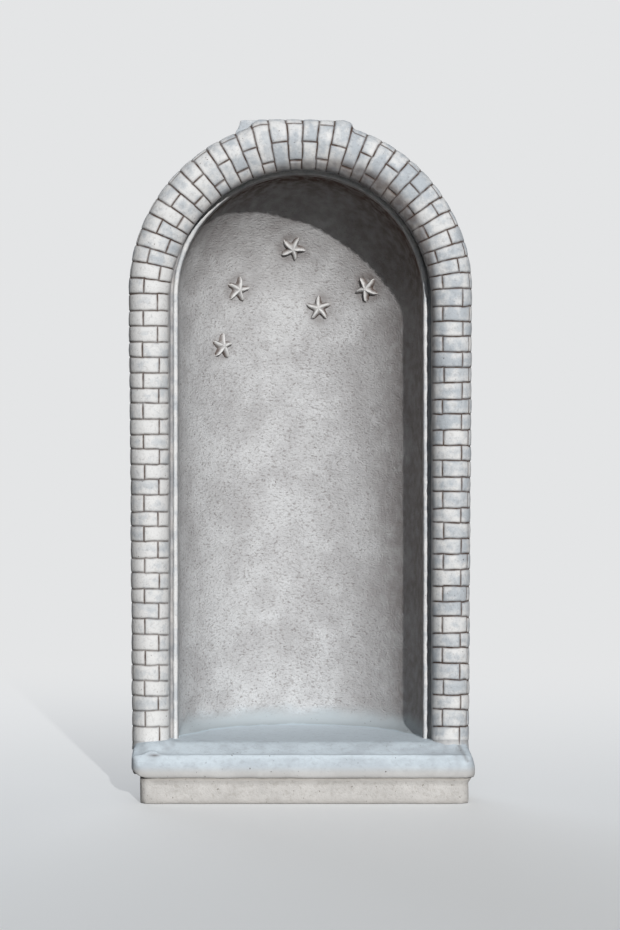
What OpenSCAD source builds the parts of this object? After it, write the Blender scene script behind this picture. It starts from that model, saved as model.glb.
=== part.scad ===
// Round-headed garden shrine of cast stone: an apse niche with a half dome,
// framed by a brick-scored roll and a thin bead, on a slab with a rounded sill.
// X runs to the right, Y into the niche and Z up. The origin is on the ground
// in the middle of the base.

/* [Surround] */
// Outside width across the two jambs at the springing line
surround_w = 580; // [520:1:680]
// Height of the springing line above the ground
springing_h = 850; // [600:1:1200]
// Width of the roll at the foot of a jamb
roll_foot_w = 62; // [48:1:72]
// Width of the roll at the springing line
roll_spring_w = 68; // [54:1:80]
// Width of the roll at the crown of the arch
roll_crown_w = 74; // [58:1:90]
// Depth of the round front of the roll, from its crest to its sides
roll_round_d = 36; // [26:1:40]
// Depth of the surround, from the crest of the roll to its back
surround_d = 92; // [86:1:120]
// Width of the thin bead that edges the niche
bead_w = 8; // [5:0.5:14]
// Distance of the front of the bead behind the crest of the roll
bead_back = 62; // [50:0.5:70]
// Width of the groove between the bead and the roll
quirk_w = 5; // [3:0.5:10]
// Depth of that groove behind the front of the bead
quirk_d = 9; // [8:0.5:14]

/* [Niche] */
// Thickness of the round wall and of the half dome
wall_t = 35; // [25:1:60]
// Radius of the cove where the wall meets the floor
cove_r = 24; // [12:1:40]
// Thickness of the floor disc
floor_t = 26; // [15:1:36]

/* [Base] */
// Height of the set-back plinth under the slab
plinth_h = 44; // [25:1:80]
// Set-back of the plinth from the edge of the slab
plinth_inset = 10; // [4:1:20]
// Height of the slab from the plinth to the floor of the niche
slab_h = 54; // [48:1:80]
// Projection of the slab beyond each side of the surround
slab_side = 1; // [0:0.5:20]
// Projection of the slab in front of the crest of the roll
sill_d = 45; // [38:1:80]
// Slope of the sill in degrees
sill_slope = 22; // [18:1:30]
// Radius of the round nose of the sill
nose_r = 22; // [14:1:26]
// Height of the upright face under the nose
nose_h = 14; // [6:1:18]
// Radius of the slab's upright corners
corner_r = 25; // [12:1:40]
// Radius of the rounded upper edge along the slab's sides
side_round_r = 6; // [3:0.5:7]
// Projection of the slab behind the round wall
heel_d = 4; // [2:1:20]

/* [Crown pad] */
// Width of the flat top of the pad on the crown
pad_w = 191; // [120:1:220]
// Depth of the pad from front to back
pad_d = 137; // [90:1:170]
// Set-back of the pad's front behind the crest of the roll
pad_back = 20; // [14:1:34]
// Rise of the pad's top above the crown of the arch
pad_rise = 2; // [1:0.5:20]
// Widening of the pad from its top to its root on each end
pad_flare = 14; // [4:1:24]
// Distance of the pad's middle to the left of the niche's axis
pad_left = 7; // [0:0.5:12]

/* [Stars] */
// Radius of a star from its centre to the tip of an arm
star_r = 23.5; // [15:0.5:32]
// Height of a star's centre above the wall
star_h = 12; // [6:0.5:16]
// Height of the upright edge round a star
star_edge = 2.5; // [1:0.5:5]
// Width of the bed joint behind a star
star_bed = 0.2; // [0.1:0.05:0.5]

/* [Hidden] */
$fn = 96;
// Finer rounding for the surfaces that a thin piece is cut to
fine_fn = 480;
// Overrun of every cut past the faces it goes through
over = 1;
// Clearance round the floor disc in its pocket
floor_gap = 0.3;
// Upright edge at the toe of the cove
cove_lip = 1.5;
// Depth to which a star's root runs on behind the wall's face, before it is cut to it
star_root = 4;
// Waist between two arms as a share of the star's radius
star_waist_share = 0.46;
// Bend of the arms, as a share of the angle from one arm to the next
star_bend_share = 0.06;
// Places of the stars, right of the niche's axis and above the springing line,
// as shares of the niche's radius, and the lean of the upper arm in degrees
star_place_shares = [[-0.07, 0.49], [-0.545, 0.13], [0.155, -0.02], [0.57, 0.135], [-0.68, -0.36]];
star_leans = [17, 12, -8, -22, -3];
star_arms = 5;
// Steps round the roll, round the bead and along a third of the arch
roll_steps = 12;
bead_steps = 4;
arch_steps = 11;
// Each third of the arch, of the half dome and of the round wall
third = 60;

niche_r = surround_w / 2 - roll_spring_w - quirk_w - bead_w;
roll_in = niche_r + bead_w + quirk_w;
shell_r = niche_r + wall_t;
slab_w = surround_w + 2 * slab_side;
slab_d = sill_d + surround_d + shell_r + heel_d;
floor_h = plinth_h + slab_h;
front_y = -slab_d / 2;
back_y = slab_d / 2;
crest_y = front_y + sill_d;
axis_y = crest_y + surround_d;
nose_top = plinth_h + nose_h;
// Where the round of the nose runs out into the slope, and the slope into the floor
nose_end_y = front_y + nose_r - nose_r * sin(sill_slope);
nose_end_h = nose_top + nose_r * cos(sill_slope);
sill_top_y = nose_end_y + (floor_h - nose_end_h) / tan(sill_slope);
floor_r = niche_r - cove_r;
pad_top = springing_h + roll_in + roll_crown_w + pad_rise;

stone = [0.76, 0.76, 0.75];
wash = [0.66, 0.65, 0.63];

// Section of the surround: radius from the niche's axis, and depth behind the crest.
// It runs from the inner back corner round the bead, the groove and the roll.
function surround_section(w) = concat(
    [[niche_r, surround_d]],
    half_round(niche_r + bead_w / 2, bead_back + bead_w / 2, bead_w / 2, bead_w / 2, bead_steps),
    [[niche_r + bead_w, bead_back + quirk_d], [roll_in, bead_back + quirk_d]],
    half_round(roll_in + w / 2, roll_round_d, w / 2, roll_round_d, roll_steps),
    [[roll_in + w, surround_d]]
);

// Half an ellipse that bulges towards the front
function half_round(r, d, half_w, half_d, steps) = [
    for (i = [0 : steps])
        let (t = 180 + 180 * i / steps)
        [r + half_w * cos(t), d + half_d * sin(t)]
];

// The section set up on the arch, turned by an angle from the right-hand springing
function arch_ring(a) = [
    for (p = surround_section(roll_spring_w + (roll_crown_w - roll_spring_w) * sin(a)))
        [p[0] * cos(a), crest_y + p[1], springing_h + p[0] * sin(a)]
];

// The section laid flat at a height on the right-hand jamb
function jamb_ring(w, z) = [for (p = surround_section(w)) [p[0], crest_y + p[1], z]];

// Skins a row of equal rings and closes both ends
module loft(rings) {
    n = len(rings[0]);
    m = len(rings);
    sides = [
        for (i = [0 : m - 2], j = [0 : n - 1])
            let (k = (j + 1) % n)
            each [[i * n + j, (i + 1) * n + k, i * n + k], [i * n + j, (i + 1) * n + j, (i + 1) * n + k]]
    ];
    first = [for (j = [0 : n - 1]) j];
    last = [for (j = [n - 1 : -1 : 0]) (m - 1) * n + j];
    polyhedron([for (r = rings) each r], concat(sides, [first, last]), convexity = 6);
}

// A third of the arch from a given angle on
module arch_third(from) {
    loft([for (i = [0 : arch_steps]) arch_ring(from + third * i / arch_steps)]);
}

// Rectangle with round corners, its front edge on Y = 0
module round_block(w, d, r) {
    translate([-w / 2 + r, 0]) square([w - 2 * r, d]);
    translate([-w / 2, r]) square([w, d - 2 * r]);
    for (x = [-w / 2 + r, w / 2 - r], y = [r, d - r]) translate([x, y]) circle(r);
}

// Plan of the base: a block under the surround and a round back under the wall
module base_plan(inset) {
    translate([0, front_y + inset])
        round_block(slab_w - 2 * inset, sill_d + surround_d + heel_d - 2 * inset, corner_r - inset / 2);
    translate([0, axis_y]) intersection() {
        circle(shell_r + heel_d - inset);
        translate([-slab_w / 2, -surround_d / 2]) square([slab_w, slab_d]);
    }
}

// Upright outline of the slab from front to back: nose, sloping sill, level floor
module sill_outline() {
    difference() {
        translate([front_y, plinth_h]) square([slab_d, slab_h]);
        polygon([
            [nose_end_y, nose_end_h],
            [sill_top_y, floor_h],
            [sill_top_y, floor_h + over],
            [nose_end_y, floor_h + over]
        ]);
        difference() {
            translate([front_y - over, nose_top]) square([nose_end_y - front_y + over, slab_h]);
            translate([front_y + nose_r, nose_top]) circle(nose_r);
        }
    }
}

// The sloping sill and the level floor that a jamb stands on, down past its foot
module seat_outline() {
    low = nose_top - over;
    polygon([
        [front_y, low],
        [front_y, floor_h - (sill_top_y - front_y) * tan(sill_slope)],
        [sill_top_y, floor_h],
        [back_y, floor_h],
        [back_y, low]
    ]);
}

// Upright outline of the slab from side to side, with round upper edges
module slab_outline() {
    translate([-slab_w / 2, plinth_h]) square([slab_w, slab_h - side_round_r]);
    translate([-slab_w / 2 + side_round_r, plinth_h]) square([slab_w - 2 * side_round_r, slab_h]);
    for (x = [-slab_w / 2 + side_round_r, slab_w / 2 - side_round_r])
        translate([x, floor_h - side_round_r]) circle(side_round_r);
}

// The slab before its pocket for the floor is sunk
module slab_body() {
    intersection() {
        translate([0, 0, plinth_h]) linear_extrude(slab_h) base_plan(0);
        translate([-slab_w / 2, 0, 0]) rotate([90, 0, 90]) linear_extrude(slab_w) sill_outline();
        translate([0, back_y, 0]) rotate([90, 0, 0]) linear_extrude(slab_d) slab_outline();
    }
}

// Round floor, cut straight where the sill begins
module floor_plan(r) {
    translate([0, axis_y]) intersection() {
        circle(r);
        translate([-r, sill_top_y - axis_y + floor_r - r]) square([2 * r, 2 * r]);
    }
}

// A third of the round wall, with the cove at its foot, from a given angle on
module wall_third(from) {
    translate([0, axis_y, floor_h]) rotate([0, 0, from]) rotate_extrude(angle = third)
        difference() {
            translate([floor_r, 0]) square([shell_r - floor_r, springing_h - floor_h]);
            translate([floor_r, cove_lip + cove_r]) circle(cove_r);
            translate([floor_r - over, cove_lip + cove_r])
                square([cove_r + over, springing_h - floor_h]);
        }
}

// A third of the half dome, turned about the axis that runs into the niche
module dome_third(from) {
    translate([0, axis_y, springing_h]) rotate([90, 0, 0]) mirror([0, 0, 1]) rotate([0, 0, from])
        rotate_extrude(angle = third)
            difference() {
                intersection() {
                    circle(shell_r);
                    square(shell_r);
                }
                circle(niche_r);
            }
}

// Space inside the niche, a bed joint clear of the wall and the half dome
module niche_space() {
    translate([0, axis_y, springing_h]) sphere(niche_r - star_bed, $fn = fine_fn);
    translate([0, axis_y, floor_h])
        cylinder(r = niche_r - star_bed, h = springing_h - floor_h, $fn = fine_fn);
}

// Outline point of a star: tips at even places and waists at odd ones
function star_point(i) =
    let (
        r = i % 2 == 0 ? star_r : star_r * star_waist_share,
        bend = i % 2 == 0 ? 0 : star_bend_share * 360 / star_arms,
        a = 90 + 180 * i / star_arms + bend
    )
    [r * cos(a), r * sin(a), star_edge];

// A star with a ridge along each arm, standing on Z = 0
module star_form() {
    n = 2 * star_arms;
    rim = [for (i = [0 : n - 1]) star_point(i)];
    foot = [for (p = rim) [p[0], p[1], -star_root]];
    loft_points = concat(foot, rim, [[0, 0, star_h]]);
    sides = [
        for (i = [0 : n - 1])
            let (k = (i + 1) % n)
            each [[i, n + i, n + k], [i, n + k, k], [n + i, 2 * n, n + k]]
    ];
    polyhedron(loft_points, concat([[for (i = [0 : n - 1]) i]], sides), convexity = 4);
}

// Sets a star on the wall or the half dome at its place, leaning as listed
module star(index) {
    place = star_place_shares[index] * niche_r;
    rise = max(place[1], 0);
    lift = asin(rise / niche_r);
    swing = asin(place[0] / (niche_r * cos(lift)));
    color(stone) intersection() {
        niche_space();
        translate([0, axis_y, springing_h + min(place[1], 0)]) rotate([0, 0, -swing]) rotate([lift, 0, 0])
            translate([0, niche_r, 0]) rotate([90, 0, 0]) rotate([0, 0, -star_leans[index]]) star_form();
    }
}

module plinth() {
    color(wash) linear_extrude(plinth_h) base_plan(plinth_inset);
}

module base_slab() {
    color(stone) difference() {
        slab_body();
        translate([0, 0, floor_h - floor_t]) linear_extrude(floor_t + over) floor_plan(floor_r);
    }
}

module niche_floor() {
    color(stone) translate([0, 0, floor_h - floor_t]) linear_extrude(floor_t) floor_plan(floor_r - floor_gap);
}

module right_jamb() {
    color(stone) difference() {
        loft([jamb_ring(roll_foot_w, nose_top), jamb_ring(roll_spring_w, springing_h)]);
        rotate([90, 0, 90]) linear_extrude(slab_w) seat_outline();
    }
}

module left_jamb() {
    mirror([1, 0, 0]) right_jamb();
}

module arch_right() {
    color(stone) arch_third(0);
}

module arch_crown() {
    color(stone) arch_third(third);
}

module arch_left() {
    color(stone) arch_third(2 * third);
}

module right_wall() {
    color(wash) wall_third(0);
}

module back_wall() {
    color(wash) wall_third(third);
}

module left_wall() {
    color(wash) wall_third(2 * third);
}

module dome_right() {
    color(wash) dome_third(0);
}

module dome_crown() {
    color(wash) dome_third(third);
}

module dome_left() {
    color(wash) dome_third(2 * third);
}

module crown_pad() {
    low = springing_h + niche_r - wall_t;
    color(stone) difference() {
        translate([-pad_left, crest_y + pad_back + pad_d, 0]) rotate([90, 0, 0]) linear_extrude(pad_d)
            polygon([
                [-pad_w / 2, pad_top],
                [-pad_w / 2 - pad_flare, low],
                [pad_w / 2 + pad_flare, low],
                [pad_w / 2, pad_top]
            ]);
        arch_third(third);
        translate([0, axis_y, springing_h]) sphere(shell_r);
        translate([0, axis_y, springing_h]) rotate([90, 0, 0]) cylinder(r = shell_r, h = surround_d);
    }
}

module star_top() {
    star(0);
}

module star_left() {
    star(1);
}

module star_centre() {
    star(2);
}

module star_right() {
    star(3);
}

module star_low_left() {
    star(4);
}

plinth();
base_slab();
niche_floor();
left_jamb();
right_jamb();
arch_left();
arch_crown();
arch_right();
left_wall();
back_wall();
right_wall();
dome_left();
dome_crown();
dome_right();
crown_pad();
star_top();
star_left();
star_centre();
star_right();
star_low_left();
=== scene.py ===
"""Dresses the cast-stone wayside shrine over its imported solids.

Each operator makes one piece, or one group of like pieces, in place of the solids that it
stands for, and the stage operator sets the floor, the lamps and the camera. Lengths are in
metres, +X to the right as seen from the front, +Y into the niche, +Z up.
"""

import math
import random

import bmesh
import bpy
from bpy.props import FloatProperty, FloatVectorProperty, IntProperty, PointerProperty
from mathutils import Matrix, Vector, noise


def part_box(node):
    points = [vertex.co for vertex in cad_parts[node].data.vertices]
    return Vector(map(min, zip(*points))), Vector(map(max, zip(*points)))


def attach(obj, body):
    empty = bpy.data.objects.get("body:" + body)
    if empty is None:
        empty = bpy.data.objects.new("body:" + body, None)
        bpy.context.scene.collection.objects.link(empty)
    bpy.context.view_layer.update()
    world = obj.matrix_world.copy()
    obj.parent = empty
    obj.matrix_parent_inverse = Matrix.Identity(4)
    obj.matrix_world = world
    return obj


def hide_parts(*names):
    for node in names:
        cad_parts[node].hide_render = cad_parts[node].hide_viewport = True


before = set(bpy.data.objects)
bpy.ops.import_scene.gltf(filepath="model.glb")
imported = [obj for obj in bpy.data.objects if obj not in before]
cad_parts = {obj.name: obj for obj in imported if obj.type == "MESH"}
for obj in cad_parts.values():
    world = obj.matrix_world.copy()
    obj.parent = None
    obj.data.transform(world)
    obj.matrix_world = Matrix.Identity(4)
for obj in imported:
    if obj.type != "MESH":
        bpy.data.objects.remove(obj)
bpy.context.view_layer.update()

bl_info = {
    "name": "Wayside shrine",
    "version": (1, 0, 0),
    "blender": (4, 5, 0),
    "location": "View3D > Sidebar > Shrine",
    "description": "Builds the looks of a cast-stone garden niche over its solids",
    "category": "Object",
}

MM = 0.001
JAMB_LOW, JAMB_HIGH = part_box("right_jamb")
PAD_LOW, PAD_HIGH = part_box("crown_pad")
FLOOR_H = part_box("niche_floor")[1].z
SHELL_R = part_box("dome_crown")[1].z - JAMB_HIGH.z
# What the finish reads at each vertex: the wash also carries painted shade, the rub painted highlights, and
# the tone painted light
MARKS = ("wash", "rub_and_highlight", "tone_and_light", "skim")

# Places of the bed joints at the crown and at the right springing, as shares of the arch's run
CROWN_SHARE, SPRING_SHARE = 0.504, 0.989
# Cross joints of a course, in degrees round the roll from its crest, inwards positive: at the left
# springing, at the right one, and what the crown adds
CROSS_JOINTS = ((-72, -58, 18), (-14, -28, 27), (32, 30, 15))
# Lines of the mesh between a joint and the next, and from the last joint to the groove, as shares
GAP_SHARES = (0.12, 0.37, 0.63, 0.88)
FLANK_SHARES = (0.12, 0.32, 0.52, 0.7, 0.86, 1.0)
# A scored joint: distance from its middle in half widths, and shares of the depth, wash and rub there
JOINT_LINES = ((0.0, 1.0, 1.0, 0.0), (0.5, 0.7, 0.9, 0.0), (1.0, 0.16, 0.22, 0.3), (2.3, 0.0, 0.04, 0.6))
# Wash on the bead, by degrees round it from the groove; the rest of it is clean
BEAD_WASH = {-40: 0.42, 0: 0.28, 30: 0.08, 120: 0.06, 150: 0.22, 180: 0.42}
# Feet of the jambs: side, reach over the sill, height of toe and top in mm, and the power of the flare.
# The left foot runs out over the nose, the right one only over the sill
FEET = ((-1, 46, 58, 102, 0.55), (1, 30, 74, 99, 1.8))
# Stars: right of the niche's axis and above the springing, as shares of its radius, and lean
STARS = (
    ("star_top", -0.07, 0.49, 17),
    ("star_left", -0.545, 0.13, 12),
    ("star_centre", 0.155, -0.02, -8),
    ("star_right", 0.57, 0.135, -22),
    ("star_low_left", -0.68, -0.36, -3),
)
# Radius of a star between two arms, as a share of its radius at the tips
STAR_WAIST = 0.46


def linear(code):
    """An sRGB hex colour as linear RGBA."""
    parts = [int(code[i : i + 2], 16) / 255 for i in (0, 2, 4)]
    return (*[c / 12.92 if c <= 0.04045 else ((c + 0.055) / 1.055) ** 2.4 for c in parts], 1.0)


def length(name, default, description):
    return FloatProperty(
        name=name, description=description, default=default, min=0.0, unit="LENGTH", precision=4
    )


def number(name, default, description):
    return FloatProperty(name=name, description=description, default=default, min=0.0)


def angle(name, degrees, description):
    return FloatProperty(name=name, description=description, default=math.radians(degrees), subtype="ANGLE")


def tally(name, default, description):
    return IntProperty(name=name, description=description, default=default, min=4)


def colour(name, code, description):
    return FloatVectorProperty(
        name=name, description=description, default=linear(code), size=4, min=0.0, max=1.0, subtype="COLOR"
    )


class ShrineSurround(bpy.types.PropertyGroup):
    """Sizes of the brick-scored roll and the bead inside it"""

    foot_w: length("Roll at the foot", 62 * MM, "Width of the roll where the jamb stands on the sill")
    spring_w: length("Roll at the springing", 68 * MM, "Width of the roll where the arch begins")
    crown_w: length("Roll at the crown", 74 * MM, "Width of the roll at the top of the arch")
    round_d: length("Roll's round", 36 * MM, "Depth of the roll's round front")
    bead_w: length("Bead", 8 * MM, "Width of the bead")
    bead_back: length("Bead behind the crest", 62 * MM, "How far the bead lies behind the roll's crest")
    quirk_w: length("Groove", 5 * MM, "Width of the groove between roll and bead")
    quirk_d: length("Groove behind the bead", 6 * MM, "Depth of the groove behind the bead's front")
    overhang: length("Overhang", 10 * MM, "How far the roll leans over the groove round the arch")
    pad_w: length("Pad", 191 * MM, "Width of the crown pad at its top")
    foot_h: length("Foot", 84 * MM, "Height at which the roll's foot ends, below the sill's face")
    low_joint: length("Lowest joint", 95.5 * MM, "Height of the lowest bed joint on the jambs")
    joint_w: length("Joint", 3.8 * MM, "Width of a scored joint at the face")
    joint_d: length("Joint depth", 2.4 * MM, "Depth of a scored joint")
    wander: length("Wander", 1.5 * MM, "How far a hand-scored joint strays")
    lift: length("Lift", 0.45 * MM, "How far one brick face stands proud of the next")
    jamb_courses: tally("Jamb courses", 29, "Courses on each jamb")
    arch_courses: tally("Arch courses", 16, "Courses on each half of the arch")


class ShrineNiche(bpy.types.PropertyGroup):
    """Sizes of the niche's lining, the base and the stars"""

    cove_r: length("Cove", 24 * MM, "Radius of the soft hollow where the wall meets the floor")
    mesh: length("Lining mesh", 4.6 * MM, "Spacing of the lining's mesh")
    lump: length("Lumps", 0.9 * MM, "Height of the broad unevenness of the lining")
    dab: length("Dabs", 0.4 * MM, "Height of the dabbed unevenness of the lining")
    cast: length("Casting mesh", 3.4 * MM, "Spacing of the mesh of the base")
    float_wave: length("Float marks", 0.5 * MM, "Height of the waves that floating left on the base")
    star_r: length("Star", 23.5 * MM, "Radius of a star to the tips of its arms")
    star_h: length("Star height", 12 * MM, "Height of a star at its middle")
    star_edge: length("Star edge", 2.0 * MM, "Height of the edge of a star's arm")


class ShrineColours(bpy.types.PropertyGroup):
    """Colours of the cast stone and its wash"""

    brick_pale: colour("Brick, pale", "DEDDDB", "Dry-brushed face of a scored brick")
    brick_mid: colour("Brick, grey", "B5BABE", "Grey of a scored brick under the brushing")
    niche_pale: colour("Niche, pale", "CACACA", "Rubbed parts of the niche's lining")
    niche_mid: colour("Niche, grey", "B6B5B5", "Grey of the niche's lining")
    # The skim's greys carry a painted blue of sky light, as the floor does
    skim_pale: colour("Skim, pale", "CAD7DE", "Rubbed parts of the lining where it runs out into the floor")
    skim_mid: colour("Skim, grey", "A9B0B3", "Grey of the lining where it runs out into the floor")
    # The base's greys carry a painted blue of sky light on its top
    base_pale: colour("Base, pale", "D0DAE0", "Rubbed edges and floor of the base")
    base_mid: colour("Base, grey", "B9C1C7", "Floated face of the base")
    nose_pale: colour("Nose edge, pale", "CDCAC6", "Nose's lower edge and plinth, warm with soil")
    nose_mid: colour("Nose edge, grey", "BEBBB7", "Grey of the nose's lower edge and the plinth")
    # This brown also paints shade: on the roll's inner flank, the reveal, the lining under the crown and on
    # the right, and the stars' flanks
    wash: colour("Wash", "4A372C", "Brown wash left in joints and hollows")
    # The soil also paints shade along the plinth's top, under the slab
    soil: colour("Soil", "7D7365", "Splashed soil near the ground")
    floor: colour("Studio floor", "F4F4F2", "Floor under the shrine, as seen")
    bounce: colour("Studio floor's bounce", "3A3A3A", "Floor as it lights the shrine")
    backdrop: colour("Backdrop", "E4E5E6", "Pale ground behind the shrine")
    box: colour("Soft box", "DCE8F6", "Light of the soft boxes")
    glow: colour("Glow", "F2F4F7", "Light from all round")


class ShrineStage(bpy.types.PropertyGroup):
    """Camera and lamps"""

    eye: FloatVectorProperty(
        name="Eye", description="Place of the camera", default=(0.016, -4.11, 0.5636), size=3,
        subtype="TRANSLATION",
    )
    lens: number("Lens", 91.57, "Focal length in millimetres")
    key_turn: angle("Key turn", 12.5, "Key lamp right of the front")
    key_rise: angle("Key rise", 16, "Key lamp above the horizon")
    key_spread: angle("Key spread", 0.8, "Angle that the key lamp fills as seen from the shrine")
    key_power: number("Key power", 3.3, "Strength of the key lamp")
    box_power: number("Front box", 27, "Power of the soft box overhead in watts")
    back_power: number("Back box", 70, "Power of the soft box behind in watts")
    box_size: length("Box size", 2.4, "Width of each soft box")
    fill: number("Fill", 0.03, "Strength of the light from all round")
    floor_size: length("Floor size", 12.0, "Half the width of the studio floor")


class ShrineSettings(bpy.types.PropertyGroup):
    """All settings of the shrine"""

    surround: PointerProperty(type=ShrineSurround)
    niche: PointerProperty(type=ShrineNiche)
    colours: PointerProperty(type=ShrineColours)
    stage: PointerProperty(type=ShrineStage)


def add(tree, kind, inputs=None, **settings):
    """Adds a node, with its settings and with values or links for its inputs."""
    node = tree.nodes.new(kind)
    for name, value in settings.items():
        setattr(node, name, value)
    for key, value in (inputs or {}).items():
        if isinstance(value, bpy.types.NodeSocket):
            tree.links.new(value, node.inputs[key])
        else:
            node.inputs[key].default_value = value
    return node


def cast_stone(name, pale, mid, wash, patch_mm, stipple_mm, stipple_d, pits, tint, rough, skim=None):
    """A cast-stone finish: grey mottled in patches, grainy, with brown wash left in whatever lies low."""
    if name in bpy.data.materials:
        return bpy.data.materials[name]
    material = bpy.data.materials.new(name)
    material.use_nodes = True
    tree = material.node_tree
    shader = tree.nodes["Principled BSDF"]
    at = add(tree, "ShaderNodeTexCoord").outputs["Object"]
    # On a face with a skim the stipple is drawn out sideways
    drawn = (1.0, 1.0, 1.6 if skim else 1.0)
    flat = add(tree, "ShaderNodeMapping", {"Vector": at, "Scale": drawn}).outputs["Vector"]
    washed, rubbed, toned, skimmed = [
        add(tree, "ShaderNodeAttribute", attribute_name=mark).outputs["Fac"] for mark in MARKS
    ]

    # Textures: where each one reads, its size in mm, detail, roughness and twist
    textures = (
        # Cloudy patches where the brush took more or less of the wash
        (at, patch_mm, 4.0, 0.62, 0.0),
        # Stipple as the dabbed or grainy face left it
        (flat, stipple_mm, 2.5, 0.55, 0.5),
        # Grit of the sand in the mix, drawn at 2.2 mm because real sand is too fine to show
        (at, 2.2, 2.0, 0.6, 0.0),
        # Air holes, a few millimetres across, that hold the wash
        (at, 3.4, 0.0, 0.5, 0.0),
        # Places along a joint where the wash thins out
        (at, 14, 2.0, 0.5, 0.0),
    )
    patch, stipple, grit, holes, thin = [
        add(
            tree, "ShaderNodeTexNoise",
            {"Vector": where, "Scale": 1000 / size, "Detail": fine, "Roughness": coarse, "Distortion": twist},
        ).outputs["Fac"]
        for where, size, fine, coarse, twist in textures
    ]
    # What they give: from where to where, and the values there
    ranges = (
        (patch, 0.33, 0.67, 0.0, 1.0, "SMOOTHSTEP"),
        (holes, 0.16 + 0.1 * pits, 0.10 + 0.1 * pits, 0.0, 0.7, "SMOOTHSTEP"),
        (thin, 0.3, 0.6, 0.72, 1.0, "LINEAR"),
        # The hollows of the stipple and the grit stay darker than the tops
        (stipple, 0.52, 0.28, 0.0, tint, "SMOOTHSTEP"),
        (grit, 0.5, 0.25, 0.0, 0.6 * tint, "LINEAR"),
    )
    patch, holes, thin, low, speck = [
        add(
            tree, "ShaderNodeMapRange",
            {"Value": value, "From Min": start, "From Max": stop, "To Min": first, "To Max": last},
            interpolation_type=kind,
        ).outputs["Result"]
        for value, start, stop, first, last, kind in ranges
    ]

    grey = add(tree, "ShaderNodeMath", {0: patch, 1: toned}, operation="ADD").outputs[0]
    rub_and_highlight = add(tree, "ShaderNodeMath", {0: rubbed, 1: grey}, operation="ADD", use_clamp=True).outputs[0]
    face = add(tree, "ShaderNodeMix", {0: rub_and_highlight, 6: mid, 7: pale}, data_type="RGBA").outputs[2]
    if skim:
        # Where it was skimmed, or soiled along an edge, it takes a second pair of greys
        even = add(tree, "ShaderNodeMix", {0: rub_and_highlight, 6: skim[1], 7: skim[0]}, data_type="RGBA").outputs[2]
        face = add(tree, "ShaderNodeMix", {0: skimmed, 6: face, 7: even}, data_type="RGBA").outputs[2]
    low = add(tree, "ShaderNodeMath", {0: low, 1: speck}, operation="MAXIMUM").outputs[0]
    # A skim fills the stipple
    bare = add(tree, "ShaderNodeMath", {0: 1.0, 1: skimmed}, operation="SUBTRACT").outputs[0]
    low, stipple = [
        add(tree, "ShaderNodeMath", {0: x, 1: bare}, operation="MULTIPLY").outputs[0] for x in (low, stipple)
    ]
    low = add(tree, "ShaderNodeMath", {0: low, 1: holes}, operation="MAXIMUM").outputs[0]
    held = add(tree, "ShaderNodeMath", {0: washed, 1: thin}, operation="MULTIPLY").outputs[0]
    held = add(tree, "ShaderNodeMath", {0: held, 1: low}, operation="MAXIMUM", use_clamp=True).outputs[0]
    paint = add(tree, "ShaderNodeMix", {0: held, 6: face, 7: wash}, data_type="RGBA").outputs[2]

    under = {}
    for height, deep, sunk in ((stipple, stipple_d, False), (grit, 0.5 * MM, False), (holes, 0.9 * MM, True)):
        inputs = {"Height": height, "Distance": deep, "Strength": 1.0, **under}
        under = {"Normal": add(tree, "ShaderNodeBump", inputs, invert=sunk).outputs["Normal"]}
    tree.links.new(paint, shader.inputs["Base Color"])
    tree.links.new(under["Normal"], shader.inputs["Normal"])
    shader.inputs["Roughness"].default_value = rough
    shader.inputs["Specular IOR Level"].default_value = 0.3
    return material


def brick_finish(c):
    # Cast concrete scored as brickwork while green: flat grey faces, brown joints, brushed arrises
    return cast_stone(
        "cast stone, scored and washed", c.brick_pale, c.brick_mid, c.wash,
        patch_mm=26, stipple_mm=5, stipple_d=0.5 * MM, pits=0.15, tint=0.2, rough=0.9,
    )


def put(name, data):
    """A new object in the scene."""
    thing = bpy.data.objects.new(name, data)
    bpy.context.scene.collection.objects.link(thing)
    return thing


def keep(bm, name, material, nodes, sharp=math.radians(180)):
    """Makes the finished mesh a piece that rides on the body and stands for its solids."""
    mesh = bpy.data.meshes.new(name)
    bm.to_mesh(mesh)
    bm.free()
    mesh.shade_smooth()
    mesh.set_sharp_from_angle(angle=sharp)
    mesh.materials.append(material)
    piece = put(name, mesh)
    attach(piece, "root")
    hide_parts(*nodes)


def solids(*nodes):
    """The named solids, merged, in one mesh to work on."""
    bm = bmesh.new()
    for node in nodes:
        bm.from_mesh(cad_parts[node].data)
    bmesh.ops.remove_doubles(bm, verts=bm.verts[:], dist=0.01 * MM)
    return bm


def fuse(bm, voxel):
    """Casts overlapping shapes into one skin with an even mesh."""
    mesh = bpy.data.meshes.new("mould")
    bm.to_mesh(mesh)
    bm.free()
    mould = put("mould", mesh)
    cast = mould.modifiers.new("cast", "REMESH")
    cast.mode = "VOXEL"
    cast.voxel_size = voxel
    bpy.context.view_layer.update()
    skin = bmesh.new()
    skin.from_mesh(mould.evaluated_get(bpy.context.evaluated_depsgraph_get()).data)
    bpy.data.objects.remove(mould)
    bpy.data.meshes.remove(mesh)
    return skin


def seal(bm, dist):
    """Merges doubles, closes holes and turns the faces outwards."""
    bmesh.ops.remove_doubles(bm, verts=bm.verts[:], dist=dist)
    bmesh.ops.holes_fill(bm, edges=[e for e in bm.edges if e.is_boundary], sides=0)
    bmesh.ops.recalc_face_normals(bm, faces=bm.faces[:])


def soften(bm, verts, times, factor=0.5):
    for _ in range(times):
        bmesh.ops.smooth_vert(
            bm, verts=verts, factor=factor, use_axis_x=True, use_axis_y=True, use_axis_z=True
        )


def marks(bm):
    """The brown wash with its painted shade, the rub with its painted highlights, the tone with its painted
    light, and the skim, that the finish reads at each vertex.
    """
    for name in MARKS:
        if name not in bm.verts.layers.float:
            bm.verts.layers.float.new(name)
    return [bm.verts.layers.float[name] for name in MARKS]


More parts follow.
